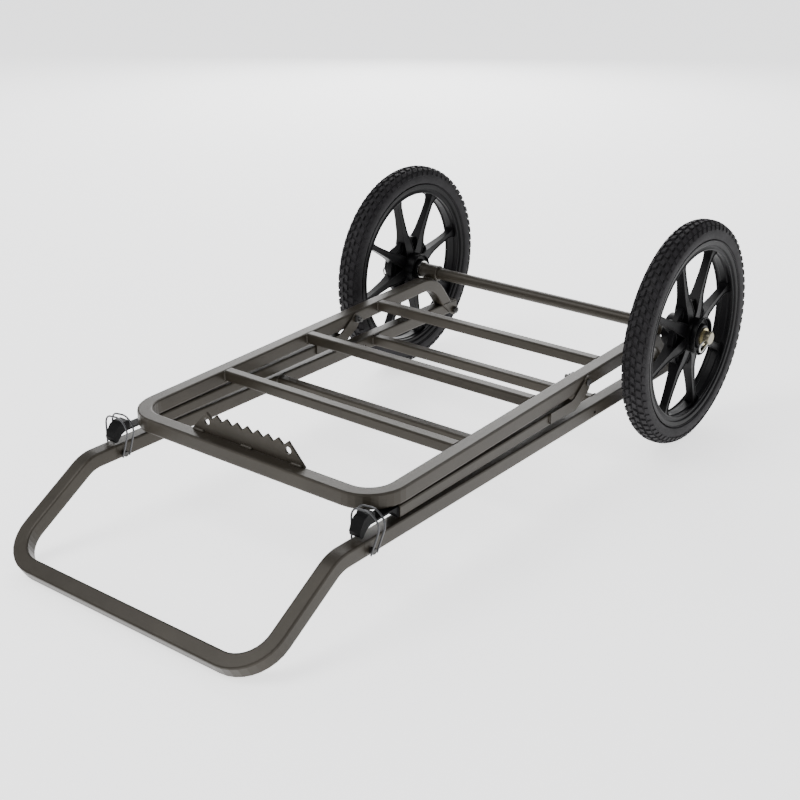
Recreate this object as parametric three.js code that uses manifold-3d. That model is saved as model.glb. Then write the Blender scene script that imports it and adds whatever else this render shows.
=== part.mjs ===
import * as THREE from 'three';
import { mergeVertices } from 'three/addons/utils/BufferGeometryUtils.js';
import Module from 'manifold-3d';

// Folding game cart: a tubular deck on two spoked wheels, a fold-down lower frame with a
// telescoping pull handle, two swinging legs stowed between the frames, and a tree bracket.
// Millimetres, +Z up, +Y towards the wheels, origin on the ground under the middle of the cart.

const wasm = await Module();
wasm.setup();

// ---- overall layout ----
const gap = 0.3;
const wheelRadius = 206.2;
const wheelTrack = 317;

// ---- square tubes ----
const frameTube = 25;
const crossTube = 19;
const legTubeHeight = 19.5;
const tubeWall = 1.6;
const tubeCorner = 3;

// ---- deck ----
const deckSlope = 0.029;
const deckHalfWidth = 266.6;
const deckTopAtAxle = 201.2;
const deckFront = -827;
const deckCornerRadius = 54;
const rearBendRadius = 73.7;
const rearLegAngle = THREE.MathUtils.degToRad(53.5);
const rearLegCrown = 0.7;
const rearLegFoot = 130.5;
const crossTubeFronts = { front: -613, middle: -400, rear: -193 };

// ---- lower frame ----
const lowerHalfWidth = 269.3;
const lowerTop = 129.8;
const lowerRear = 74.5;
const lowerSeam = -858;
const lowerPivotY = 64;
const lowerPivotZ = 110.1;
const lowerCrossFronts = { front: -480, rear: -205 };
const lowerCrossTop = 128;
const lockPinY = -844;
const lockPinZ = 112;
const railHole = { y: -229.8, z: 114.8, radius: 3 };

// ---- handle ----
const handleBendY = -908;
const handleBendRadius = 60;
const handleDrop = THREE.MathUtils.degToRad(31.6);
const handleCornerRadius = 60;
const stubFrom = -886;
const stubTo = -796;

// ---- legs ----
const legFront = -774;
const legRear = -300;
const legSlope = 0.0155;
const legTopAtRear = 159.7;
const legPivotY = -261;
const legPivotZ = 180.7;
const plateThickness = 3;
const boltRadius = 4;
const boltHole = 4.3;

// ---- axle and wheels ----
const axleRadius = 11.6;
const axleHalfLength = 367;
const collarRadius = 14.8;
const collarInner = 238;
const collarOuter = 277;
const tyreWidth = 50.4;
const rimRadius = 168;
const rimInside = 152;
const rimHalfWidth = 17;
const rimSegments = 52;
const hubInner = 280;
const hubOuter = 351;
const hubRadius = 31;
const hubRingRadius = 35;
const hubBossRadius = 21;
const hubWebRadius = 62;
const hubWebHalf = 4;
const hubBore = 14;
const spokeCount = 8;
const spokePhase = { left: 15, right: 18.5 };
const clipX = 359;
const clipHole = 1.9;
const clipTilt = THREE.MathUtils.degToRad(15);

// ---- finishes ----
const coat = new THREE.MeshStandardMaterial({ color: 0x6f675c, roughness: 0.55, metalness: 0.35 });
const rubber = new THREE.MeshStandardMaterial({ color: 0x1b1a19, roughness: 0.85, metalness: 0 });
const moulded = new THREE.MeshStandardMaterial({ color: 0x232323, roughness: 0.5, metalness: 0 });
const zinc = new THREE.MeshStandardMaterial({ color: 0xb9b9b6, roughness: 0.3, metalness: 0.9 });
const darkSteel = new THREE.MeshStandardMaterial({ color: 0x3c3a37, roughness: 0.45, metalness: 0.7 });

const cart = new THREE.Group();
cart.name = 'game_cart';

function add(name, geometry, material) {
  const mesh = new THREE.Mesh(geometry, material);
  mesh.name = name;
  cart.add(mesh);
  return mesh;
}

// ---- paths made of straights and arcs ----
class BentPath extends THREE.Curve {
  constructor(points, tangents) {
    super();
    this.points = points;
    this.tangents = tangents;
  }

  get steps() {
    return this.points.length - 1;
  }

  getPoint(t) {
    return this.points[Math.round(t * this.steps)].clone();
  }

  getSpacedPoints() {
    return this.points.map((point) => point.clone());
  }

  getTangentAt(u) {
    return this.tangents[Math.round(u * this.steps)].clone();
  }
}

// Corners with a bend radius become arcs; the first and last corners are the ends.
function bentPath(corners, segments = 10) {
  const points = [];
  const tangents = [];
  const last = corners.length - 1;
  corners.forEach((corner, index) => {
    const here = corner.at;
    if (index === 0 || index === last) {
      const other = index === 0 ? corners[1].at : corners[last - 1].at;
      const along = index === 0 ? other.clone().sub(here) : here.clone().sub(other);
      points.push(here.clone());
      tangents.push(along.normalize());
      return;
    }
    const into = here.clone().sub(corners[index - 1].at).normalize();
    const out = corners[index + 1].at.clone().sub(here).normalize();
    const turn = into.angleTo(out);
    const reach = corner.radius * Math.tan(turn / 2);
    const inward = out.clone().sub(into).normalize();
    const centre = here.clone().addScaledVector(inward, corner.radius / Math.cos(turn / 2));
    const start = here.clone().addScaledVector(into, -reach).sub(centre);
    const axis = into.clone().cross(out).normalize();
    for (let step = 0; step <= segments; step += 1) {
      const angle = (turn * step) / segments;
      points.push(start.clone().applyAxisAngle(axis, angle).add(centre));
      tangents.push(into.clone().applyAxisAngle(axis, angle));
    }
  });
  return new BentPath(points, tangents);
}

function roundedRectangle(width, height, radius, Kind = THREE.Shape) {
  const shape = new Kind();
  const x = width / 2;
  const y = height / 2;
  shape.moveTo(-x + radius, -y);
  shape.lineTo(x - radius, -y);
  shape.quadraticCurveTo(x, -y, x, -y + radius);
  shape.lineTo(x, y - radius);
  shape.quadraticCurveTo(x, y, x - radius, y);
  shape.lineTo(-x + radius, y);
  shape.quadraticCurveTo(-x, y, -x, y - radius);
  shape.lineTo(-x, -y + radius);
  shape.quadraticCurveTo(-x, -y, -x + radius, -y);
  return shape;
}

function tubeSection(width, height) {
  const section = roundedRectangle(width, height, tubeCorner);
  const inner = tubeCorner - tubeWall;
  section.holes.push(roundedRectangle(width - 2 * tubeWall, height - 2 * tubeWall, inner, THREE.Path));
  return section;
}

function sweep(section, path, curveSegments = 2) {
  return new THREE.ExtrudeGeometry(section, { extrudePath: path, steps: path.steps, curveSegments });
}

function straightTube(width, height, from, to) {
  const path = bentPath([{ at: from }, { at: to }]);
  return sweep(tubeSection(width, height), path);
}

function roundSection(radius) {
  const section = new THREE.Shape();
  section.absarc(0, 0, radius, 0, 2 * Math.PI);
  return section;
}

// A turned part from (radius, distance) pairs, its axis along +X.
function turned(profile, segments = 40) {
  const geometry = new THREE.LatheGeometry(profile.map(([r, d]) => new THREE.Vector2(r, d)), segments);
  return geometry.rotateZ(-Math.PI / 2);
}

function turnedAt(profile, x, y, z, segments) {
  return turned(profile, segments).translate(x, y, z);
}

function solidRod(radius, from, to, chamfer = 0.6) {
  return [
    [0, from],
    [radius - chamfer, from],
    [radius, from + chamfer],
    [radius, to - chamfer],
    [radius - chamfer, to],
    [0, to],
  ];
}

function ring(inner, outer, from, to) {
  return [
    [inner, from],
    [outer, from],
    [outer, to],
    [inner, to],
    [inner, from],
  ];
}

// The same profile for either side of the cart: distances run outwards from the middle.
function outward(profile, sign) {
  return sign > 0 ? profile : profile.map(([radius, distance]) => [radius, -distance]).reverse();
}

// ---- solid cutting and joining ----
function toManifold(geometry) {
  const clean = geometry.clone();
  clean.deleteAttribute('normal');
  clean.deleteAttribute('uv');
  const merged = mergeVertices(clean, 1e-4);
  return new wasm.Manifold(new wasm.Mesh({
    numProp: 3,
    vertProperties: new Float32Array(merged.attributes.position.array),
    triVerts: new Uint32Array(merged.index.array),
  }));
}

function fromManifold(solid) {
  const mesh = solid.getMesh();
  const geometry = new THREE.BufferGeometry();
  geometry.setAttribute('position', new THREE.BufferAttribute(mesh.vertProperties, 3));
  geometry.setIndex(new THREE.BufferAttribute(mesh.triVerts, 1));
  geometry.computeVertexNormals();
  return geometry;
}

function combine(geometries) {
  const first = toManifold(geometries[0]);
  return geometries.slice(1).reduce((solid, other) => solid.add(toManifold(other)), first);
}

function cutFrom(geometry, cutters) {
  const solid = cutters.reduce((body, cutter) => body.subtract(toManifold(cutter)), toManifold(geometry));
  return fromManifold(solid);
}

// A cylinder along X used as a drill.
function drill(radius, x, y, z, length, segments = 28) {
  return turnedAt(solidRod(radius, -length / 2, length / 2, 0), x, y, z, segments);
}

function deckTop(y) {
  return deckTopAtAxle + deckSlope * y;
}

// The grip's tube stands on one rounded edge; its reach is from tube centre to that edge.
const gripReach = (() => {
  const edge = roundedRectangle(frameTube, frameTube, tubeCorner).getPoints(2);
  return Math.max(...edge.map((p) => p.x * Math.sin(handleDrop) + p.y * Math.cos(handleDrop)));
})();
const lowerCentre = lowerTop - frameTube / 2;
const gripCentreY = handleBendY - (lowerCentre - gripReach) / Math.tan(handleDrop);
const centreShift = -(gripCentreY - gripReach + wheelRadius) / 2;
const axleY = centreShift;
const axleZ = wheelRadius;

function shifted(x, y, z) {
  return new THREE.Vector3(x, y + centreShift, z);
}

const sides = [
  { name: 'left', sign: -1 },
  { name: 'right', sign: 1 },
];

// ---- deck frame: one bent tube, open at both rear feet ----
const deckMiddle = deckHalfWidth - frameTube / 2;
const deckFrontMiddle = deckFront + frameTube / 2;

function deckCentre(y) {
  return deckTop(y) - frameTube / 2;
}

function deckFrame() {
  const fall = (frameTube / 2) * Math.tan(rearLegAngle / 2);
  const crownY = rearLegCrown - fall;
  const crownZ = deckCentre(crownY);
  const footZ = rearLegFoot;
  const footY = crownY + (crownZ - footZ) / Math.tan(rearLegAngle);
  const overrun = 14;
  const beyond = { y: footY + overrun * Math.cos(rearLegAngle), z: footZ - overrun * Math.sin(rearLegAngle) };
  const corners = [
    { at: shifted(-deckMiddle, beyond.y, beyond.z) },
    { at: shifted(-deckMiddle, crownY, crownZ), radius: rearBendRadius },
    { at: shifted(-deckMiddle, deckFrontMiddle, deckCentre(deckFrontMiddle)), radius: deckCornerRadius },
    { at: shifted(deckMiddle, deckFrontMiddle, deckCentre(deckFrontMiddle)), radius: deckCornerRadius },
    { at: shifted(deckMiddle, crownY, crownZ), radius: rearBendRadius },
    { at: shifted(deckMiddle, beyond.y, beyond.z) },
  ];
  const whole = sweep(tubeSection(frameTube, frameTube), bentPath(corners, 9));
  const trimDepth = 60;
  const trim = new THREE.BoxGeometry(2 * deckHalfWidth + 20, 120, trimDepth);
  trim.translate(0, footY + centreShift, footZ - trimDepth / 2);
  const cutters = [trim];
  sides.forEach(({ sign }) => {
    cutters.push(drill(boltHole, sign * deckMiddle, legPivotY + centreShift, legPivotZ, 40));
  });
  return cutFrom(whole, cutters);
}

add('deck_frame', deckFrame(), coat);

// ---- three cross tubes flush with the top of the deck ----
const crossHalf = deckHalfWidth - frameTube - gap;
Object.entries(crossTubeFronts).forEach(([name, front]) => {
  const y = front + crossTube / 2;
  const z = deckTop(y) - crossTube / 2;
  const tube = straightTube(crossTube, crossTube, new THREE.Vector3(-crossHalf, 0, 0), new THREE.Vector3(crossHalf, 0, 0));
  tube.rotateX(Math.atan(deckSlope)).translate(0, y + centreShift, z);
  add(`deck_cross_tube_${name}`, tube, coat);
});

// ---- tree bracket: a toothed plate standing on the deck's front bar ----
const bracketX = -3.5;
const bracketHalfLength = 117.5;
const bracketHeight = 34.5;
const bracketToothPitch = 21.3;
const bracketTeeth = 9;
const bracketToothDepth = 9;
const bracketHoleRadius = 6;
const bracketHoleX = 84.6;
const bracketHoleHeight = 19.5;
const bracketThickness = 4;
const bracketY = -804.3;
const bracketLift = 0.4;

function bracketPlate() {
  const firstTip = (-(bracketTeeth - 1) / 2) * bracketToothPitch;
  const shape = new THREE.Shape();
  shape.moveTo(-bracketHalfLength, 0);
  shape.lineTo(bracketHalfLength, 0);
  for (let tooth = bracketTeeth - 1; tooth >= 0; tooth -= 1) {
    const tip = firstTip + tooth * bracketToothPitch;
    shape.lineTo(tip, bracketHeight);
    if (tooth > 0) {
      shape.lineTo(tip - bracketToothPitch / 2, bracketHeight - bracketToothDepth);
    }
  }
  [-1, 1].forEach((sign) => {
    const hole = new THREE.Path();
    hole.absarc(sign * bracketHoleX, bracketHoleHeight, bracketHoleRadius, 0, 2 * Math.PI, true);
    shape.holes.push(hole);
  });
  const plate = new THREE.ExtrudeGeometry(shape, { depth: bracketThickness, bevelEnabled: false, curveSegments: 12 });
  plate.rotateX(Math.PI / 2);
  plate.translate(bracketX, bracketY + bracketThickness / 2 + centreShift, deckTop(bracketY) + bracketLift);
  return plate;
}

add('tree_bracket', bracketPlate(), coat);

// ---- rear lugs: plates under each rear foot's inner wall that carry the lower frame's pivot ----
const lugRadius = 11;
const lugThickness = 2.1;
const lugFront = 23;
const lugBack = 51;

// A plate drawn in (y, z) and given its thickness along X, from x = near.
function sidePlate(outline, near, holes, thickness = plateThickness) {
  const shape = new THREE.Shape(outline.map(([y, z]) => new THREE.Vector2(y + centreShift, z)));
  holes.forEach(([y, z, radius]) => {
    const hole = new THREE.Path();
    hole.absarc(y + centreShift, z, radius, 0, 2 * Math.PI, true);
    shape.holes.push(hole);
  });
  const plate = new THREE.ExtrudeGeometry(shape, {
    depth: thickness,
    bevelEnabled: false,
    curveSegments: 14,
  });
  const toSide = new THREE.Matrix4().makeBasis(
    new THREE.Vector3(0, 1, 0),
    new THREE.Vector3(0, 0, 1),
    new THREE.Vector3(1, 0, 0),
  );
  return plate.applyMatrix4(toSide).translate(near, 0, 0);
}

// Points of an arc in (y, z), both angles in degrees.
function arcPoints(y, z, radius, from, to, steps = 8) {
  return Array.from({ length: steps + 1 }, (_, step) => {
    const angle = THREE.MathUtils.degToRad(from + ((to - from) * step) / steps);
    return [y + radius * Math.cos(angle), z + radius * Math.sin(angle)];
  });
}

function nearEdge(sign, inner, thickness = plateThickness) {
  return sign > 0 ? inner : -inner - thickness;
}

const deckInside = deckHalfWidth - frameTube;
const lugInside = deckInside + gap;
const lugOutline = [
  [lugFront, rearLegFoot - gap],
  ...arcPoints(lowerPivotY, lowerPivotZ, lugRadius, 225, 405),
  [lugBack, rearLegFoot - gap],
];
sides.forEach(({ name, sign }) => {
  const near = nearEdge(sign, lugInside, lugThickness);
  const lug = sidePlate(lugOutline, near, [[lowerPivotY, lowerPivotZ, boltHole]], lugThickness);
  add(`deck_lug_${name}`, lug, coat);
});

// ---- bolts: low head outside, hexagon nut inside with the thread standing past it ----
const headRadius = 6.6;
const headThickness = 3.2;
const nutRadius = 7.4;
const nutThickness = 6;

function bolt(inside, outside, tail, y, z, sign) {
  const nutFace = inside - nutThickness;
  const shaft = turned(outward(solidRod(boltRadius, nutFace - tail, outside + 1), sign), 24);
  const nut = turned(outward(solidRod(nutRadius, nutFace, inside, 0.8), sign), 6);
  const head = turned(outward(solidRod(headRadius, outside, outside + headThickness, 1), sign), 20);
  return fromManifold(combine([shaft, nut, head])).translate(0, y + centreShift, z);
}

sides.forEach(({ name, sign }) => {
  const inside = lugInside - gap;
  const outside = lowerHalfWidth + gap;
  add(`lower_pivot_bolt_${name}`, bolt(inside, outside, 2, lowerPivotY, lowerPivotZ, sign), darkSteel);
});

// ---- lower frame: two rails and two cross tubes ----
const lowerMiddle = lowerHalfWidth - frameTube / 2;
sides.forEach(({ name, sign }) => {
  const x = sign * lowerMiddle;
  const rail = straightTube(
    frameTube,
    frameTube,
    shifted(x, lowerSeam, lowerCentre),
    shifted(x, lowerRear, lowerCentre),
  );
  const cutters = [
    drill(boltHole, x, lowerPivotY + centreShift, lowerPivotZ, 40),
    drill(boltHole, x, lockPinY + centreShift, lockPinZ, 40),
    drill(railHole.radius, x, railHole.y + centreShift, railHole.z, 40, 16),
  ];
  add(`lower_rail_${name}`, cutFrom(rail, cutters), coat);
});

const lowerCrossHalf = lowerHalfWidth - frameTube - gap;
Object.entries(lowerCrossFronts).forEach(([name, front]) => {
  const y = front + crossTube / 2;
  const z = lowerCrossTop - crossTube / 2;
  const tube = straightTube(crossTube, crossTube, shifted(-lowerCrossHalf, y, z), shifted(lowerCrossHalf, y, z));
  add(`lower_cross_tube_${name}`, tube, coat);
});

// ---- pull handle: one bent tube, with a smaller stub in each end ----
function handleTube() {
  const seam = lowerSeam - gap;
  const corners = [
    { at: shifted(-lowerMiddle, seam, lowerCentre) },
    { at: shifted(-lowerMiddle, handleBendY, lowerCentre), radius: handleBendRadius },
    { at: shifted(-lowerMiddle, gripCentreY, gripReach), radius: handleCornerRadius },
    { at: shifted(lowerMiddle, gripCentreY, gripReach), radius: handleCornerRadius },
    { at: shifted(lowerMiddle, handleBendY, lowerCentre), radius: handleBendRadius },
    { at: shifted(lowerMiddle, seam, lowerCentre) },
  ];
  return sweep(tubeSection(frameTube, frameTube), bentPath(corners, 9));
}

add('pull_handle', handleTube(), coat);

const stubSize = frameTube - 2 * tubeWall - 2 * gap;
sides.forEach(({ name, sign }) => {
  const x = sign * lowerMiddle;
  const stub = straightTube(stubSize, stubSize, shifted(x, stubFrom, lowerCentre), shifted(x, stubTo, lowerCentre));
  const hole = drill(boltHole, x, lockPinY + centreShift, lockPinZ, 40);
  add(`handle_stub_${name}`, cutFrom(stub, [hole]), coat);
});

// ---- wire lock pins: a headed pin through rail and stub, and a wire bow over the top ----
const pinRadius = 4;
const pinHeadRadius = 5;
const pinTip = -18.5;
const pinHeadFrom = 12.9;
const pinHeadTo = 20;
const wireRadius = 1.5;
const bowSpread = 6.8;
const bowSide = -17.4;
const bowFoot = 106;

function lockPin() {
  return turned([
    [0, pinTip],
    [pinRadius - 1, pinTip],
    [pinRadius, pinTip + 1],
    [pinRadius, pinHeadFrom],
    [pinHeadRadius, pinHeadFrom],
    [pinHeadRadius, pinHeadTo - 1],
    [pinHeadRadius - 1, pinHeadTo],
    [0, pinHeadTo],
  ], 28);
}

// The bow starts beside the head, leans outwards over the tube and the leg's foot, turns under
// the pin's tip and runs back the same way. Each stop is (x, z, bend radius).
function lockBow() {
  const stops = [
    [18, bowFoot + 2],
    [36, 163, 14],
    [14, 176.5, 12],
    [-14.5, 173, 7],
    [bowSide, 160, 10],
    [bowSide, bowFoot, 4],
  ];
  const run = (spread) => stops.map(([x, z, radius]) => ({ at: new THREE.Vector3(x, spread, z), radius }));
  const corners = [...run(bowSpread), ...run(-bowSpread).reverse()];
  return sweep(roundSection(wireRadius), bentPath(corners, 5), 4);
}

sides.forEach(({ name, sign }) => {
  const x = sign * lowerMiddle;
  add(`lock_pin_${name}`, lockPin().translate(x, lockPinY + centreShift, lockPinZ), darkSteel);
  add(`lock_bow_${name}`, lockBow().translate(x, lockPinY + centreShift, 0), darkSteel);
});

// ---- folding legs, stowed between deck rails and lower rails ----
const legMiddle = deckMiddle;

function legTop(y) {
  return legTopAtRear + legSlope * (y - legRear);
}

const plateFront = -376;
const plateOutline = [
  ...arcPoints(legPivotY, legPivotZ, 11, -35, 145),
  [-292, 171.5],
  [-304, 164],
  [-314, 161.5],
  [plateFront, 161.5],
  [plateFront, 143],
  [-296, 141.5],
  [-288, 146.5],
  [-272, 155.5],
  [-262, 161],
  [-256, 167],
];

sides.forEach(({ name, sign }) => {
  const x = sign * legMiddle;
  const tube = straightTube(
    frameTube,
    legTubeHeight,
    shifted(x, legFront, legTop(legFront) - legTubeHeight / 2),
    shifted(x, legRear, legTop(legRear) - legTubeHeight / 2),
  );
  add(`leg_tube_${name}`, tube, coat);
  const hole = [[legPivotY, legPivotZ, boltHole]];
  const innerPlate = sidePlate(plateOutline, nearEdge(sign, deckInside - gap - plateThickness), hole);
  const outerPlate = sidePlate(plateOutline, nearEdge(sign, deckHalfWidth + gap), hole);
  add(`leg_plate_inner_${name}`, innerPlate, coat);
  add(`leg_plate_outer_${name}`, outerPlate, coat);
  const inside = deckInside - 2 * gap - plateThickness;
  const outside = deckHalfWidth + 2 * gap + plateThickness;
  add(`leg_pivot_bolt_${name}`, bolt(inside, outside, 7, legPivotY, legPivotZ, sign), darkSteel);
});

// ---- rubber feet: each a plug in the leg's front end, a flat strap and a hooked toe ----
const footWidth = 20;
const plugLength = 22;

function legFoot() {
  const sole = new THREE.Shape([
    [legFront - gap, 134],
    [legFront - gap, 151.4],
    [deckFront - 1, 151.4],
    [deckFront - 1.6, 164.5],
    [-842, 165.5],
    [-852, 161],
    [-859, 151],
    [-862, 143],
    [-861, 137],
    [-858.5, 134.5],
    [-854.5, 134.5],
    [-852, 138],
    [-846, 144],
    [-838, 148],
    [-790, 148.3],
    [-780, 140.8],
  ].map(([y, z]) => new THREE.Vector2(y + centreShift, z)));
  const body = new THREE.ExtrudeGeometry(sole, { depth: footWidth, bevelEnabled: false });
  body.applyMatrix4(new THREE.Matrix4().makeBasis(
    new THREE.Vector3(0, 1, 0),
    new THREE.Vector3(0, 0, 1),
    new THREE.Vector3(1, 0, 0),
  ));
  body.translate(-footWidth / 2, 0, 0);
  const plugWidth = frameTube - 2 * tubeWall - 2 * gap;
  const plugHeight = legTubeHeight - 2 * tubeWall - 2 * gap;
  const plug = new THREE.BoxGeometry(plugWidth, plugLength + 4, plugHeight - 1);
  const plugY = legFront + plugLength / 2 - 2;
  plug.translate(0, plugY + centreShift, legTop(plugY) - legTubeHeight / 2);
  return fromManifold(combine([body, plug]));
}

sides.forEach(({ name, sign }) => {
  add(`leg_foot_${name}`, legFoot().translate(sign * legMiddle, 0, 0), rubber);
});

// ---- axle, collars, washers and clips ----
function axleBar() {
  const bar = turned(solidRod(axleRadius, -axleHalfLength, axleHalfLength, 1.5), 40);
  const holes = sides.map(({ sign }) => {
    const hole = new THREE.CylinderGeometry(clipHole, clipHole, 4 * axleRadius, 20);
    return hole.rotateX(clipTilt).translate(sign * clipX, 0, 0);
  });
  return cutFrom(bar, holes).translate(0, axleY, axleZ);
}

add('axle', axleBar(), coat);

// A ring around the axle between two distances from the middle, on either side.
function axleRing(inner, outer, near, far, sign) {
  const from = sign > 0 ? near : -far;
  const to = sign > 0 ? far : -near;
  return turned(ring(inner, outer, from, to), 40).translate(0, axleY, axleZ);
}

// The straight leg of the clip passes through the axle; the other leg runs beside it.
function axleClip() {
  const clipRadius = 1.6;
  const beside = axleRadius + clipRadius + 2 * gap;
  const at = (y, z) => new THREE.Vector3(0, y, z);
  const loop = 5;
  const corners = [
    { at: at(0, -19) },
    { at: at(0, 30), radius: loop },
    { at: at(-beside - 2, 30), radius: loop },
    { at: at(-beside - 2, 14), radius: loop },
    { at: at(-beside, 0), radius: loop },
    { at: at(-beside - 1.5, -12) },
  ];
  return sweep(roundSection(clipRadius), bentPath(corners, 6), 4).rotateX(Math.PI / 2 + clipTilt);
}

sides.forEach(({ name, sign }) => {
  const bore = axleRadius + gap;
  add(`axle_collar_${name}`, axleRing(bore, collarRadius, collarInner, collarOuter, sign), coat);
  add(`washer_inner_${name}`, axleRing(bore, 18, collarOuter + gap, hubInner - gap, sign), zinc);
  add(`washer_outer_${name}`, axleRing(bore, 16, hubOuter + gap, hubOuter + 2.6, sign), zinc);
  add(`axle_clip_${name}`, axleClip().translate(sign * clipX, axleY, axleZ), zinc);
});

// ---- wheels: tyre, moulded spoked wheel and a steel hub liner ----
function tyre() {
  const half = tyreWidth / 2;
  const tread = [
    [rimRadius + gap, rimHalfWidth - 2],
    [rimRadius + 4, rimHalfWidth + 2],
    [rimRadius + 14, half - 1],
    [wheelRadius - 14, half],
    [wheelRadius - 6.5, half - 0.6],
    [wheelRadius - 1.5, half - 8],
    [wheelRadius, half - 17],
  ];
  const inside = [
    [rimRadius + 6, rimHalfWidth - 5],
    [wheelRadius - 9, half - 11],
  ];
  const mirror = (points) => points.map(([radius, distance]) => [radius, -distance]);
  return turned([
    ...mirror(tread),
    ...tread.reverse(),
    ...inside,
    ...mirror(inside).reverse(),
    [rimRadius + gap, -rimHalfWidth + 2],
  ], rimSegments);
}

function spoke(angle) {
  const inner = hubRadius - 6;
  const outer = rimInside + 3;
  const depthAtHub = 16;
  const depthAtRim = 9;
  const widthAtHub = 12;
  const widthAtRim = 6;
  const web = new THREE.BufferGeometry();
  const corner = (radius, width, depth) => [
    [-depth, -width, radius],
    [depth, -width, radius],
    [depth, width, radius],
    [-depth, width, radius],
  ];
  const corners = [
    ...corner(inner, widthAtHub, depthAtHub),
    ...corner(outer, widthAtRim, depthAtRim),
  ];
  web.setAttribute('position', new THREE.Float32BufferAttribute(corners.flat(), 3));
  web.setIndex([
    0, 2, 1, 0, 3, 2,
    4, 5, 6, 4, 6, 7,
    0, 1, 5, 0, 5, 4,
    1, 2, 6, 1, 6, 5,
    2, 3, 7, 2, 7, 6,
    3, 0, 4, 3, 4, 7,
  ]);
  return web.rotateX(THREE.MathUtils.degToRad(angle));
}

function mouldedWheel(phase, sign) {
  const nearEnd = hubInner - wheelTrack;
  const farEnd = hubOuter - wheelTrack;
  const rim = turned([
    [rimInside, -rimHalfWidth + 2],
    [rimInside + 4, -rimHalfWidth - 1],
    [rimRadius + 2.5, -rimHalfWidth - 3.5],
    [rimRadius + 3.5, -rimHalfWidth - 2.3],
    [rimRadius - gap, -rimHalfWidth + 2],
    [rimRadius - gap, rimHalfWidth - 2],
    [rimRadius + 3.5, rimHalfWidth + 2.3],
    [rimRadius + 2.5, rimHalfWidth + 3.5],
    [rimInside + 4, rimHalfWidth + 1],
    [rimInside, rimHalfWidth - 2],
    [rimInside, -rimHalfWidth + 2],
  ], rimSegments);
  const hub = turned(outward([
    [0, nearEnd],
    [hubRadius - 7, nearEnd],
    [hubRadius, nearEnd + 8],
    [hubRadius, -hubWebHalf],
    [hubWebRadius, -hubWebHalf],
    [hubWebRadius, hubWebHalf],
    [hubRadius, hubWebHalf],
    [hubRadius, farEnd - 12],
    [hubRingRadius, farEnd - 8],
    [hubRingRadius, farEnd],
    [hubRingRadius - 2.5, farEnd],
    [hubRingRadius - 2.5, farEnd - 6],
    [hubBossRadius, farEnd - 6],
    [hubBossRadius, farEnd],
    [0, farEnd],
  ], sign), 32);
  const spokes = Array.from({ length: spokeCount }, (_, index) => spoke(phase + (index * 360) / spokeCount));
  const bore = toManifold(turned(solidRod(hubBore + gap, -60, 60, 0), 32));
  return fromManifold(combine([hub, rim, ...spokes]).subtract(bore));
}

sides.forEach(({ name, sign }) => {
  const x = sign * wheelTrack;
  const liner = axleRing(axleRadius + gap, hubBore, hubInner, hubOuter, sign);
  add(`tyre_${name}`, tyre().translate(x, axleY, axleZ), rubber);
  add(`wheel_${name}`, mouldedWheel(spokePhase[name] - 90, sign).translate(x, axleY, axleZ), moulded);
  add(`hub_liner_${name}`, liner, zinc);
});

export default cart;
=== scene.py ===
import math

import bmesh
import bpy
from mathutils import Matrix, Vector


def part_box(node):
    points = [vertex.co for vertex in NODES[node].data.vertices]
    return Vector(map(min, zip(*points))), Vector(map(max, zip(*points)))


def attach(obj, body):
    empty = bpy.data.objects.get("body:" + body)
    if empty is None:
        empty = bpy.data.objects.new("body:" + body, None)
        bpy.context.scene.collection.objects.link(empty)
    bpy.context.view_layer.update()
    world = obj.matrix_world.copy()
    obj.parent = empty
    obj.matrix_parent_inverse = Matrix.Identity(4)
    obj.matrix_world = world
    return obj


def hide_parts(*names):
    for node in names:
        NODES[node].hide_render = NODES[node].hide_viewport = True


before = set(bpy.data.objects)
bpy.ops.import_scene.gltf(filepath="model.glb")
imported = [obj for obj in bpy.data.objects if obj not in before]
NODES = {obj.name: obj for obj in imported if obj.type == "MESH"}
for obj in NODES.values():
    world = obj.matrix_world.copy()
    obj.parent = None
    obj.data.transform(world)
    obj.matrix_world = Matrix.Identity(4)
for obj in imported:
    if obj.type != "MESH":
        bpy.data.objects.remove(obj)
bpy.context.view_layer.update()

# Folding game cart. Metres, +Z up, +Y towards the wheels.

SIDES = (("left", -1), ("right", 1))


# ---------------------------------------------------------------- materials

def principled(name):
    mat = bpy.data.materials.new(name)
    mat.use_nodes = True
    tree = mat.node_tree
    return mat, tree, tree.nodes["Principled BSDF"]


def object_coordinates(tree):
    return tree.nodes.new("ShaderNodeTexCoord").outputs["Object"]


def noise(tree, coords, scale, detail=4.0, rough=0.55):
    node = tree.nodes.new("ShaderNodeTexNoise")
    node.inputs["Scale"].default_value = scale
    node.inputs["Detail"].default_value = detail
    node.inputs["Roughness"].default_value = rough
    tree.links.new(coords, node.inputs["Vector"])
    return node.outputs["Fac"]


def remap(tree, value, low, high, from_low=0.3, from_high=0.7):
    node = tree.nodes.new("ShaderNodeMapRange")
    node.inputs["From Min"].default_value = from_low
    node.inputs["From Max"].default_value = from_high
    node.inputs["To Min"].default_value = low
    node.inputs["To Max"].default_value = high
    tree.links.new(value, node.inputs["Value"])
    return node.outputs["Result"]


def mix_colours(tree, factor, first, second):
    node = tree.nodes.new("ShaderNodeMix")
    node.data_type = "RGBA"
    tree.links.new(factor, node.inputs[0])
    node.inputs[6].default_value = (*first, 1)
    node.inputs[7].default_value = (*second, 1)
    return node.outputs[2]


def bump(tree, height, strength, distance):
    node = tree.nodes.new("ShaderNodeBump")
    node.inputs["Strength"].default_value = strength
    node.inputs["Distance"].default_value = distance
    tree.links.new(height, node.inputs["Height"])
    return node.outputs["Normal"]


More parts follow.
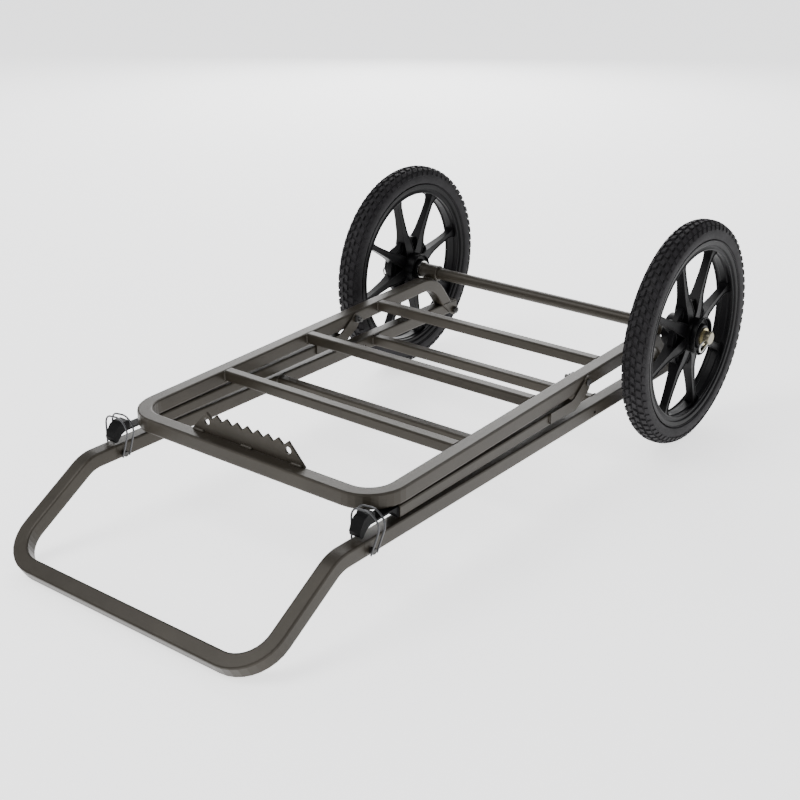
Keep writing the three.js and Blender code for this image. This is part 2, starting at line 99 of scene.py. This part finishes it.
def surface(name, dark, light, rough, metal, grain, depth, patch=14.0, specular=0.5):
    """A finish whose tone drifts slowly and whose gloss and skin follow a fine grain."""
    mat, tree, shader = principled(name)
    coords = object_coordinates(tree)
    drift = noise(tree, coords, patch)
    fine = noise(tree, coords, grain, 2.0)
    tone = remap(tree, drift, 0.0, 1.0)
    tree.links.new(mix_colours(tree, tone, dark, light), shader.inputs["Base Color"])
    tree.links.new(remap(tree, fine, rough - 0.05, rough + 0.07), shader.inputs["Roughness"])
    shader.inputs["Metallic"].default_value = metal
    shader.inputs["Specular IOR Level"].default_value = specular
    tree.links.new(bump(tree, fine, 0.35, depth), shader.inputs["Normal"])
    return mat


# Dark tone, light tone, roughness, metal, grain, grain depth, patch size and specular level.
COAT_VALUES = ((0.0270, 0.0226, 0.0162), (0.0355, 0.0302, 0.0224), 0.37, 0.25, 900, 0.0002, 14.0, 0.26)
BARE_END_TONE = (0.26, 0.24, 0.18, 1)
BARE_END_METAL = 1.0
BARE_END_FROM = 0.3538
BARE_END_BLEND = 0.0002


def coated_with_bright_ends(name):
    """The coat, turning to bare zinc past BARE_END_FROM on either side of the cart."""
    mat = surface(name, *COAT_VALUES)
    tree = mat.node_tree
    shader = tree.nodes["Principled BSDF"]
    split = tree.nodes.new("ShaderNodeSeparateXYZ")
    tree.links.new(object_coordinates(tree), split.inputs["Vector"])
    size = tree.nodes.new("ShaderNodeMath")
    size.operation = "ABSOLUTE"
    tree.links.new(split.outputs["X"], size.inputs[0])
    low = BARE_END_FROM - BARE_END_BLEND
    high = BARE_END_FROM + BARE_END_BLEND
    beyond = remap(tree, size.outputs["Value"], 0.0, 1.0, low, high)
    coated = shader.inputs["Base Color"].links[0].from_socket
    mixed = tree.nodes.new("ShaderNodeMix")
    mixed.data_type = "RGBA"
    mixed.inputs[7].default_value = BARE_END_TONE
    tree.links.new(beyond, mixed.inputs[0])
    tree.links.new(coated, mixed.inputs[6])
    tree.links.new(mixed.outputs[2], shader.inputs["Base Color"])
    metal = remap(tree, beyond, shader.inputs["Metallic"].default_value, BARE_END_METAL, 0.0, 1.0)
    tree.links.new(metal, shader.inputs["Metallic"])
    return mat


COAT = surface("bronze_powder_coat", *COAT_VALUES)
WELD = surface(
    "coated_weld",
    (0.0240, 0.0202, 0.0146), (0.0380, 0.0324, 0.0244),
    0.32, 0.25, 500, 0.0006, 14.0, 0.30,
)
TYRE = surface(
    "tyre_rubber",
    (0.0150, 0.0142, 0.0150), (0.0245, 0.0233, 0.0247),
    0.60, 0.0, 420, 0.0003, 30, 0.10,
)
PLASTIC = surface(
    "moulded_black_plastic",
    (0.0022, 0.0021, 0.0024), (0.0040, 0.0038, 0.0043),
    0.38, 0.0, 1300, 0.00012, 14.0, 0.09,
)
RUBBER = surface(
    "foot_rubber",
    (0.0025, 0.0025, 0.0025), (0.0045, 0.0045, 0.0045),
    0.5, 0.0, 700, 0.0002, 14.0, 0.08,
)
DARK_STEEL = surface("dark_steel", (0.045, 0.044, 0.043), (0.07, 0.069, 0.067), 0.38, 0.85, 600, 0.0001)
ZINC = surface("zinc_steel", (0.42, 0.42, 0.40), (0.56, 0.56, 0.54), 0.27, 1.0, 300, 0.00008, 60)
BRASS = surface("yellow_zinc", (0.42, 0.36, 0.20), (0.52, 0.46, 0.28), 0.3, 1.0, 300, 0.00008, 60)
WIRE = surface("pin_wire", (0.050, 0.050, 0.052), (0.085, 0.085, 0.088), 0.32, 0.9, 400, 0.00005)

AXLE_FINISH = coated_with_bright_ends("axle_finish")

FINISH = {
    "axle": AXLE_FINISH,
    "lower_pivot_bolt": DARK_STEEL,
    "leg_pivot_bolt": DARK_STEEL,
    "lock_pin": DARK_STEEL,
    "lock_bow": WIRE,
    "leg_foot": RUBBER,
    "tyre": TYRE,
    "wheel": PLASTIC,
    "hub_liner": ZINC,
    "washer_inner": ZINC,
    "washer_outer": BRASS,
    "axle_clip": ZINC,
}


def stem_of(name):
    return name.replace("_left", "").replace("_right", "")


def finish_for(name):
    return FINISH.get(stem_of(name), COAT)


def shade_by_angle(mesh, degrees):
    mesh.polygons.foreach_set("use_smooth", [True] * len(mesh.polygons))
    mesh.set_sharp_from_angle(angle=math.radians(degrees))


def add_bevel(piece, width, segments=2, angle=35):
    mod = piece.modifiers.new("edge", "BEVEL")
    mod.width = width
    mod.segments = segments
    mod.limit_method = "ANGLE"
    mod.angle_limit = math.radians(angle)


NODE_SMOOTH_ANGLE = 32

# Width in metres and segments.
BEVELS = {
    "tree_bracket": (0.0006, 2),
    "leg_plate_inner": (0.0006, 2),
    "leg_plate_outer": (0.0006, 2),
    "deck_lug": (0.0005, 2),
    "leg_foot": (0.0028, 4),
    "lock_pin": (0.0005, 2),
    "leg_pivot_bolt": (0.0005, 2),
    "lower_pivot_bolt": (0.0005, 2),
}

for node_name, node in NODES.items():
    node.data.materials.clear()
    node.data.materials.append(finish_for(node_name))
    shade_by_angle(node.data, NODE_SMOOTH_ANGLE)
    if stem_of(node_name) in BEVELS:
        add_bevel(node, *BEVELS[stem_of(node_name)])
    weighted = node.modifiers.new("normals", "WEIGHTED_NORMAL")
    weighted.keep_sharp = True


# ---------------------------------------------------------------- mesh helpers

def make_mesh(name, vertices, faces, mat, smooth=40):
    mesh = bpy.data.meshes.new(name)
    mesh.from_pydata([tuple(v) for v in vertices], [], faces)
    mesh.validate()
    mesh.update()
    mesh.materials.append(mat)
    piece = bpy.data.objects.new(name, mesh)
    bpy.context.scene.collection.objects.link(piece)
    tidy_normals(piece, smooth)
    return piece


def tidy_normals(piece, smooth):
    mesh = piece.data
    work = bmesh.new()
    work.from_mesh(mesh)
    bmesh.ops.recalc_face_normals(work, faces=work.faces)
    work.to_mesh(mesh)
    work.free()
    shade_by_angle(mesh, smooth)


def turn_profile(profile, centre, steps):
    """Vertices and faces of a closed (x, radius) profile turned about the X axis."""
    vertices = []
    faces = []
    count = len(profile)
    for step in range(steps):
        angle = 2 * math.pi * step / steps
        for x, radius in profile:
            vertices.append(centre + Vector((x, radius * math.cos(angle), radius * math.sin(angle))))
    for step in range(steps):
        here = step * count
        there = ((step + 1) % steps) * count
        for i in range(count):
            j = (i + 1) % count
            faces.append((here + i, here + j, there + j, there + i))
    return vertices, faces


def grow(target, extra):
    """Add (vertices, faces) to the lists in target."""
    vertices, faces = target
    more, more_faces = extra
    start = len(vertices)
    vertices.extend(more)
    faces.extend(tuple(i + start for i in face) for face in more_faces)


def hexahedron(bottom, top):
    """Four bottom corners and four top corners, both in the same turning order."""
    faces = [(0, 1, 2, 3), (7, 6, 5, 4)]
    faces += [(i, i + 4, (i + 1) % 4 + 4, (i + 1) % 4) for i in range(4)]
    return list(bottom) + list(top), faces


def wire_mesh(points, radius, sides=12, closed=False):
    """A round wire through points, with a frame carried along it and flat caps on open ends."""
    points = [Vector(p) for p in points]
    count = len(points)
    vertices = []
    faces = []
    normal = None
    for i, point in enumerate(points):
        before = points[i - 1] if i or closed else points[i]
        after = points[(i + 1) % count] if i < count - 1 or closed else points[i]
        tangent = (after - before).normalized()
        if normal is None:
            guess = Vector((0, 0, 1)) if abs(tangent.z) < 0.8 else Vector((1, 0, 0))
            normal = tangent.cross(guess).normalized()
        normal = (normal - tangent * normal.dot(tangent)).normalized()
        side = tangent.cross(normal)
        for k in range(sides):
            angle = 2 * math.pi * k / sides
            size = radius(i / max(1, count - 1)) if callable(radius) else radius
            vertices.append(point + (normal * math.cos(angle) + side * math.sin(angle)) * size)
    spans = count if closed else count - 1
    for i in range(spans):
        for k in range(sides):
            a = i * sides + k
            b = i * sides + (k + 1) % sides
            c = ((i + 1) % count) * sides + (k + 1) % sides
            d = ((i + 1) % count) * sides + k
            faces.append((a, b, c, d))
    if not closed:
        faces.append(tuple(range(sides)))
        faces.append(tuple(reversed(range((count - 1) * sides, count * sides))))
    return vertices, faces


def rounded_path(corners, steps=10):
    """Straights joined by arcs. Each corner is (point, radius)."""
    points = [Vector(corners[0][0])]
    for (before, _), (here, radius), (after, _) in zip(corners, corners[1:], corners[2:]):
        before, here, after = Vector(before), Vector(here), Vector(after)
        into = (here - before).normalized()
        out = (after - here).normalized()
        turn = into.angle(out)
        reach = radius * math.tan(turn / 2)
        centre = here + (out - into).normalized() * (radius / math.cos(turn / 2))
        arm = here - into * reach - centre
        axis = into.cross(out).normalized()
        for step in range(steps + 1):
            points.append(centre + Matrix.Rotation(turn * step / steps, 3, axis) @ arm)
    points.append(Vector(corners[-1][0]))
    return points


# ---------------------------------------------------------------- positions read from the frame

AXLE_LOW, AXLE_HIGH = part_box("axle")
AXLE = (AXLE_LOW + AXLE_HIGH) / 2
SHIFT = AXLE.y
TUBE = 0.025
DECK_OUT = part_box("deck_frame")[1].x
DECK_IN = DECK_OUT - TUBE
LOWER_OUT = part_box("lower_rail_right")[1].x
LOWER_IN = LOWER_OUT - TUBE
LOWER_MIDDLE = LOWER_OUT - TUBE / 2


WHEEL_TRACK = 0.317


def wheel_centre(sign):
    return Vector((sign * WHEEL_TRACK, AXLE.y, AXLE.z))


def at(x, y, z):
    """A point given in millimetres from the axle line on the ground."""
    return Vector((x, y + SHIFT * 1000, z)) / 1000


# ---------------------------------------------------------------- tyres

TYRE_RISE = 0.0195
TYRE_HALF = 0.0222
TYRE_MIDDLE = AXLE.z - TYRE_RISE - 0.0040
TYRE_SQUARENESS = 0.8


def rounded_power(value):
    return math.copysign(abs(value) ** TYRE_SQUARENESS, value)


def tyre_section(lean, rise=0.0):
    """Across and radius of a point on the carcass, lean round its section, rise above it."""
    across = (TYRE_HALF + rise * 0.70) * rounded_power(math.sin(lean))
    radius = TYRE_MIDDLE + (TYRE_RISE + rise) * rounded_power(math.cos(lean))
    return across, radius


def tyre_point(centre, turn, lean, rise):
    across, radius = tyre_section(lean, rise)
    return centre + Vector((across, radius * math.cos(turn), radius * math.sin(turn)))


def carcass_profile():
    outside = [tyre_section(math.radians(step * 10)) for step in range(-11, 12)]
    bead_half = [(0.0165, 0.1715), (0.0135, 0.1690)]
    return outside + bead_half + [(-x, r) for x, r in reversed(bead_half)]


KNOBS = 72
KNOB_ROWS = (
    (-62, 12, 0.34, 0.0, 0.0028),
    (-34, 12, 0.36, 0.5, 0.0036),
    (-9, 8, 0.34, 0.0, 0.0040),
    (9, 8, 0.34, 0.5, 0.0040),
    (34, 12, 0.36, 0.0, 0.0036),
    (62, 12, 0.34, 0.5, 0.0028),
)


def build_tyre(side, sign):
    centre = wheel_centre(sign)
    shape = ([], [])
    grow(shape, turn_profile(carcass_profile(), centre, 144))
    pitch = 2 * math.pi / KNOBS
    for lean, half, span, offset, rise in KNOB_ROWS:
        for index in range(KNOBS):
            middle = (index + offset) * pitch
            skew = 0.10 * pitch * (1 if lean > 0 else -1)
            corners = []
            for level, shrink in ((-0.0015, 1.0), (rise, 0.80)):
                for dl, dt in ((-1, -1), (1, -1), (1, 1), (-1, 1)):
                    turn = middle + dt * span * pitch * shrink + dl * skew
                    angle = math.radians(lean + dl * half * shrink)
                    corners.append(tyre_point(centre, turn, angle, level))
            grow(shape, hexahedron(corners[:4], corners[4:]))
    piece = make_mesh(f"tread_tyre_{side}", *shape, TYRE, 30)
    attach(piece, f"road_wheel_{side}")
    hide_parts(f"tyre_{side}")
    return piece


# ---------------------------------------------------------------- moulded wheels

def rim_profile():
    half = [
        (0.0000, 0.1525), (0.0060, 0.1525), (0.0072, 0.1542), (0.0128, 0.1546), (0.0140, 0.1528),
        (0.0162, 0.1530), (0.0172, 0.1552), (0.0160, 0.1580), (0.0158, 0.1612), (0.0182, 0.1626),
        (0.0190, 0.1660), (0.0192, 0.1695), (0.0204, 0.1708), (0.0205, 0.1716), (0.0192, 0.1714),
        (0.0168, 0.1688), (0.0140, 0.1675), (0.0, 0.1672),
    ]
    mirrored = [(-x, r) for x, r in reversed(half) if x > 0]
    return half + mirrored


def hub_profile(sign):
    """The barrel with a recessed ring at each end, and a web disc in the wheel's middle plane."""
    points = [
        (-0.0370, 0.0143), (-0.0370, 0.0190), (-0.0362, 0.0200), (-0.0300, 0.0205), (-0.0296, 0.0270),
        (-0.0335, 0.0274), (-0.0342, 0.0282), (-0.0342, 0.0292), (-0.0335, 0.0300), (-0.0280, 0.0306),
        (-0.0042, 0.0314), (-0.0036, 0.0320), (-0.0034, 0.0620), (0.0034, 0.0620), (0.0036, 0.0320),
        (0.0042, 0.0314), (0.0215, 0.0312), (0.0250, 0.0336), (0.0268, 0.0347), (0.0330, 0.0350),
        (0.0340, 0.0344), (0.0340, 0.0332), (0.0333, 0.0326), (0.0272, 0.0322), (0.0262, 0.0312),
        (0.0262, 0.0232), (0.0272, 0.0222), (0.0328, 0.0212), (0.0340, 0.0202), (0.0340, 0.0143),
    ]
    return [(sign * x, r) for x, r in points]


SPOKES = 8
SPOKE_PITCH = 360 / SPOKES
SPOKE_PHASE = {"left": 15.0, "right": 18.5}
# Distance from the axle, half width and half depth along a spoke.
SPOKE_STATIONS = (
    (0.0255, 0.0125, 0.0150), (0.0420, 0.0118, 0.0142), (0.0580, 0.0106, 0.0122), (0.0680, 0.0088, 0.0100),
    (0.0800, 0.0073, 0.0087), (0.1100, 0.0058, 0.0075), (0.1350, 0.0056, 0.0071), (0.1460, 0.0070, 0.0080),
    (0.1545, 0.0105, 0.0102),
)
SPOKE_RIDGE = 0.0013


def spoke_shape(centre, angle):
    """A solid tapering spoke with a thin raised ridge along each edge of both faces."""
    along = Vector((0, math.cos(angle), math.sin(angle)))
    across = Vector((0, -math.sin(angle), math.cos(angle)))
    axial = Vector((1, 0, 0))

    def section(radius, half, depth):
        floor = depth - SPOKE_RIDGE
        lip = half - SPOKE_RIDGE
        slope = half - 1.6 * SPOKE_RIDGE
        side = [(-half, depth), (-lip, depth), (-slope, floor), (slope, floor), (lip, depth), (half, depth)]
        outline = side + [(-w, -d) for w, d in side]
        return [centre + along * radius + across * w + axial * d for w, d in outline]

    rings = [section(*station) for station in SPOKE_STATIONS]
    count = len(rings[0])
    vertices = [point for ring in rings for point in ring]
    faces = [tuple(range(count)), tuple(range(len(vertices) - count, len(vertices)))]
    for i in range(len(rings) - 1):
        for k in range(count):
            a = i * count + k
            b = i * count + (k + 1) % count
            faces.append((a, b, b + count, a + count))
    return vertices, faces


def web_ribs(centre, phase):
    """Thin ridges on the hub's web disc, one between each two spokes, bowed towards the hub."""
    shape = ([], [])
    for index in range(SPOKES):
        middle = math.radians(phase + SPOKE_PITCH * (index + 0.5))
        reach = math.radians(13)
        for face in (-0.0042, 0.0042):
            points = []
            for step in range(9):
                t = step / 4 - 1
                radius = 0.0560 - 0.0100 * (1 - t * t)
                turn = middle + t * reach
                points.append(centre + Vector((face, radius * math.cos(turn), radius * math.sin(turn))))
            grow(shape, wire_mesh(points, 0.0016, 8))
    return shape


def build_wheel(side, sign, phase):
    centre = wheel_centre(sign)
    shape = ([], [])
    grow(shape, turn_profile(rim_profile(), centre, 128))
    grow(shape, turn_profile(hub_profile(sign), centre, 96))
    flange = [(-0.0052, 0.0600), (0.0052, 0.0600), (0.0052, 0.0622), (-0.0052, 0.0622)]
    grow(shape, turn_profile(flange, centre, 96))
    grow(shape, web_ribs(centre, phase))
    for index in range(SPOKES):
        grow(shape, spoke_shape(centre, math.radians(phase + SPOKE_PITCH * index)))
    piece = make_mesh(f"spoked_wheel_{side}", *shape, PLASTIC, 32)
    add_bevel(piece, 0.0007, 2, 40)
    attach(piece, f"road_wheel_{side}")
    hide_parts(f"wheel_{side}")
    return piece


for side_name, side_sign in SIDES:
    build_tyre(side_name, side_sign)
    build_wheel(side_name, side_sign, SPOKE_PHASE[side_name])


# ---------------------------------------------------------------- welds

def bead(start, end, radius=0.0026, pitch=0.0024):
    """A run of overlapping weld ripples from start to end."""
    start, end = Vector(start), Vector(end)
    length = (end - start).length
    count = max(8, int(length / 0.0009))
    points = [start.lerp(end, i / count) for i in range(count + 1)]

    def size(t):
        ripple = 0.90 + 0.12 * abs(math.sin(math.pi * t * length / pitch))
        taper = min(1.0, 0.45 + 8 * min(t, 1 - t))
        return radius * ripple * taper

    return wire_mesh(points, size, 8)


def build_welds(name, runs, body):
    shape = ([], [])
    for run in runs:
        grow(shape, bead(*run))
    piece = make_mesh(name, *shape, WELD, 60)
    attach(piece, body)
    return piece


def deck_cross_welds():
    runs = []
    for name in ("front", "middle", "rear"):
        low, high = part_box(f"deck_cross_tube_{name}")
        for _, sign in SIDES:
            x = sign * (DECK_IN - 0.0003)
            for y in (low.y, high.y):
                runs.append(((x, y, low.z + 0.0015), (x, y, high.z - 0.0015)))
            runs.append(((x, low.y + 0.001, low.z), (x, high.y - 0.001, low.z)))
    return runs


def lower_cross_welds():
    runs = []
    for name in ("front", "rear"):
        low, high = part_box(f"lower_cross_tube_{name}")
        for _, sign in SIDES:
            x = sign * (LOWER_IN - 0.0003)
            for y in (low.y, high.y):
                runs.append(((x, y, low.z + 0.0015), (x, y, high.z - 0.0005)))
            for z in (low.z, high.z):
                runs.append(((x, low.y + 0.001, z), (x, high.y - 0.001, z)))
    return runs


def bracket_welds():
    low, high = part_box("tree_bracket")
    runs = []
    for middle, length in ((low.x + 0.016, 0.022), ((low.x + high.x) / 2, 0.024), (high.x - 0.016, 0.022)):
        for y in (low.y - 0.0006, high.y + 0.0006):
            z = low.z + 0.0006
            runs.append(((middle - length / 2, y, z), (middle + length / 2, y, z), 0.0034))
    return runs


def collar_welds():
    """Beads along each axle collar where it sits on the crown of a deck rail."""
    runs = []
    for _, sign in SIDES:
        for y, z in ((0.4, 189.2), (-13.0, 195.0)):
            ends = [at(sign * x, y, z) for x in (242.5, 266.0)]
            runs.append((ends[0], ends[1], 0.0038))
    return runs


def leg_plate_welds(sign):
    """A bead down the front end of each outer leg plate."""
    x = sign * (DECK_OUT + 0.0002)
    low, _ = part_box("leg_plate_outer_right")
    y = low.y - 0.0002
    return [((x, y, low.z + 0.004), (x, y, low.z + 0.017), 0.0022)]


def lug_welds():
    runs = []
    for _, sign in SIDES:
        x = sign * (DECK_IN * 1000 + 0.2)
        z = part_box("deck_frame")[0].z * 1000
        runs.append((at(x, 25, z), at(x, 50, z), 0.0016))
    return runs


def ring_bead(x, radius, thick):
    """A lumpy weld ring round the axle."""
    count = 96
    points = []
    for step in range(count):
        angle = 2 * math.pi * step / count
        points.append(Vector((x, AXLE.y + radius * math.cos(angle), AXLE.z + radius * math.sin(angle))))

    def size(t):
        return thick * (0.88 + 0.14 * abs(math.sin(math.pi * 16 * t)))

    return wire_mesh(points, size, 10, closed=True)


def build_axle_welds():
    shape = ([], [])
    for _, sign in SIDES:
        low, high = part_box("axle_collar_right")
        grow(shape, ring_bead(sign * (low.x - 0.0006), 0.0128, 0.0027))
    piece = make_mesh("weld_axle_collars", *shape, WELD, 60)
    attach(piece, "deck")


build_axle_welds()
build_welds("weld_collars_to_rails", collar_welds(), "deck")
build_welds("weld_deck_lugs", lug_welds(), "deck")
for side_name, side_sign in SIDES:
    build_welds(f"weld_leg_plate_{side_name}", leg_plate_welds(side_sign), f"leg_{side_name}")
build_welds("weld_deck_cross_tubes", deck_cross_welds(), "deck")
build_welds("weld_lower_cross_tubes", lower_cross_welds(), "lower_frame")
build_welds("weld_tree_bracket", bracket_welds(), "deck")


# ---------------------------------------------------------------- wire bows and axle clips

BOW_WIRE = 0.0015
BOW_SPREAD = 6.8
# Across, height and bend radius of each stop of the bow, from the pin's head to its tip.
BOW_STOPS = (
    (18, 108, 0), (36, 163, 21), (14, 176.5, 20),
    (-14.5, 173, 13), (-17.4, 160, 22), (-17.4, 106, 4),
)


def build_bow(side, sign):
    middle = sign * LOWER_MIDDLE * 1000
    pin_low, pin_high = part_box(f"lock_pin_{side}")
    pin_y = (pin_low.y + pin_high.y) / 2 - SHIFT
    stops = []
    for spread, order in ((BOW_SPREAD, BOW_STOPS), (-BOW_SPREAD, BOW_STOPS[::-1])):
        stops += [(at(middle + x, pin_y * 1000 + spread, z), radius / 1000) for x, z, radius in order]
    piece = make_mesh(f"wire_bow_{side}", *wire_mesh(rounded_path(stops, 12), BOW_WIRE, 16), WIRE, 50)
    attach(piece, f"lock_{side}")
    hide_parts(f"lock_bow_{side}")


CLIP_WIRE = 0.0016
CLIP_TILT = math.radians(15)
# Along the pulling direction, below the axle and bend radius of each stop of a clip.
CLIP_STOPS = (
    (-19, 0, 0), (30, 0, 6), (30, 15.6, 6), (17, 15.6, 5),
    (7, 13.6, 8), (-3, 13.9, 8), (-12, 15.4, 0),
)


def build_clip(side, sign):
    low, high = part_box(f"axle_clip_{side}")
    centre = Vector(((low.x + high.x) / 2, AXLE.y, AXLE.z))
    pull = Vector((0, -math.cos(CLIP_TILT), -math.sin(CLIP_TILT)))
    below = Vector((0, math.sin(CLIP_TILT), -math.cos(CLIP_TILT)))
    stops = []
    for reach, drop, radius in CLIP_STOPS:
        stops.append((centre + (pull * reach + below * drop) / 1000, radius / 1000))
    piece = make_mesh(f"hairpin_clip_{side}", *wire_mesh(rounded_path(stops, 12), CLIP_WIRE, 16), ZINC, 50)
    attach(piece, f"clip_{side}")
    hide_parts(f"axle_clip_{side}")


for side_name, side_sign in SIDES:
    build_bow(side_name, side_sign)
    build_clip(side_name, side_sign)


# ---------------------------------------------------------------- floor, light and camera

def build_floor():
    mat, _, shader = principled("studio_floor")
    shader.inputs["Base Color"].default_value = (0.93, 0.93, 0.93, 1)
    shader.inputs["Roughness"].default_value = 0.75
    shader.inputs["Emission Color"].default_value = (1, 1, 1, 1)
    shader.inputs["Emission Strength"].default_value = 1.6
    size = 14.0
    corners = [(-size, -size, 0), (size, -size, 0), (size, size, 0), (-size, size, 0)]
    floor = make_mesh("studio_floor", corners, [(0, 1, 2, 3)], mat)


def area_light(name, place, target, size, power, colour=(1, 1, 1)):
    data = bpy.data.lights.new(name, "AREA")
    data.shape = "DISK"
    data.size = size
    data.energy = power
    data.color = colour
    lamp = bpy.data.objects.new(name, data)
    lamp.location = place
    lamp.rotation_euler = (Vector(target) - Vector(place)).to_track_quat("-Z", "Y").to_euler()
    bpy.context.scene.collection.objects.link(lamp)


def build_world():
    world = bpy.data.worlds.new("studio")
    world.use_nodes = True
    background = world.node_tree.nodes["Background"]
    background.inputs["Color"].default_value = (0.95, 0.96, 1.0, 1)
    background.inputs["Strength"].default_value = 0.62
    bpy.context.scene.world = world


CAMERA_AZIMUTH = 37.78
CAMERA_ELEVATION = 23.043
CAMERA_ROLL = 0.347
CAMERA_PLACE = (1336.6, -2156.7, 1061.0)
CAMERA_LENS = 61.78
CAMERA_SENSOR = 36


def build_camera():
    azimuth = math.radians(CAMERA_AZIMUTH)
    elevation = math.radians(CAMERA_ELEVATION)
    roll = math.radians(CAMERA_ROLL)
    level = Vector((-math.sin(azimuth), math.cos(azimuth), 0))
    forward = level * math.cos(elevation) - Vector((0, 0, math.sin(elevation)))
    right = Vector((math.cos(azimuth), math.sin(azimuth), 0))
    up = right.cross(forward)
    turned_right = right * math.cos(roll) + up * math.sin(roll)
    turned_up = up * math.cos(roll) - right * math.sin(roll)
    data = bpy.data.cameras.new("camera")
    data.sensor_width = CAMERA_SENSOR
    data.lens = CAMERA_LENS
    camera = bpy.data.objects.new("camera", data)
    place = Matrix((turned_right, turned_up, -forward)).transposed().to_4x4()
    place.translation = at(*CAMERA_PLACE)
    camera.matrix_world = place
    bpy.context.scene.collection.objects.link(camera)
    bpy.context.scene.camera = camera


build_floor()
build_world()
area_light("key", (-1.6, -2.2, 3.6), (0, 0, 0.1), 2.6, 110)
area_light("fill", (3.4, -2.6, 1.9), (0, 0, 0.1), 3.0, 20)
area_light("rim", (-2.3, 3.0, 1.75), (0, 0, 0.2), 3.0, 105)
build_camera()
